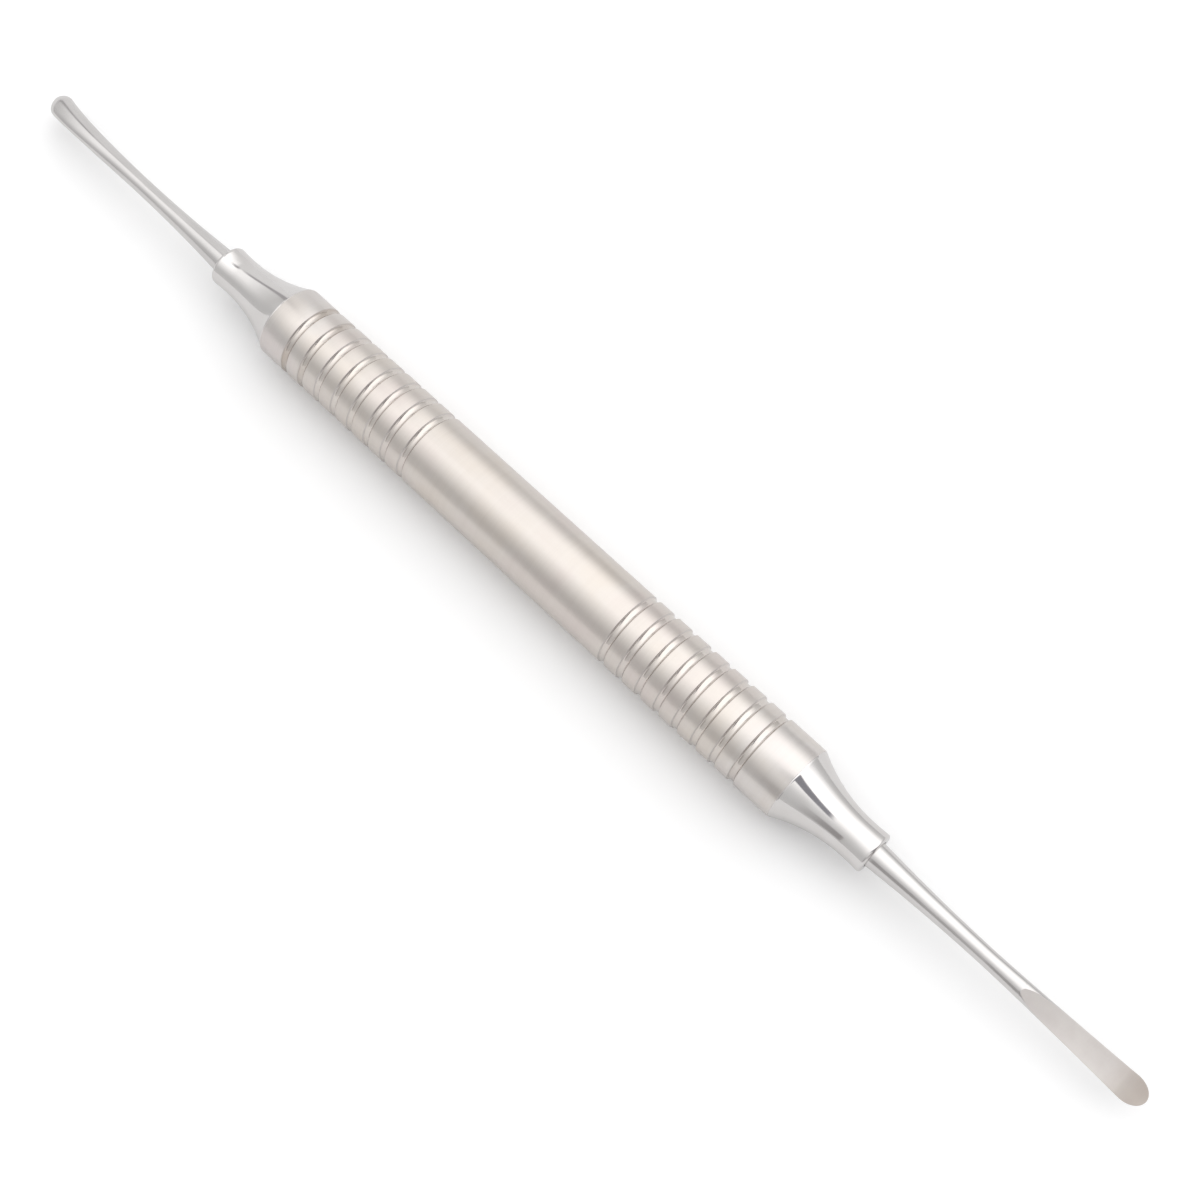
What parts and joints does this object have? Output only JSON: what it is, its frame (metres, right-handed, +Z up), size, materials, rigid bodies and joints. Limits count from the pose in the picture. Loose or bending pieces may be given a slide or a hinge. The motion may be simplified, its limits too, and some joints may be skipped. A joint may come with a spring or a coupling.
{
  "type": "double-ended dental elevator",
  "caption": "Slim double-ended hand elevator: grooved hollow handle, trumpet-shaped end cones, a flat blade at one end and a spoon blade at the other.",
  "frame": {"origin": "on the handle's axis, midway between the two groups of grip grooves", "axes": "+X along the handle towards the flat blade, +Z up from the surface that the instrument lies on, +Y across it"},
  "size_m": [0.175, 0.0094, 0.0094],
  "materials": {
    "satin_steel": "satin stainless steel, brushed round the handle",
    "polished_cone_steel": "mirror-polished stainless steel",
    "polished_shank_steel": "polished stainless steel, with a fine matt grind on the flat blade's face"
  },
  "bodies": {
    "root": {"handle_tube": "satin_steel", "spoon_end_cone": "polished_cone_steel", "flat_end_cone": "polished_cone_steel", "spoon_working_end": "polished_shank_steel", "flat_working_end": "polished_shank_steel"}
  },
  "joints": []
}
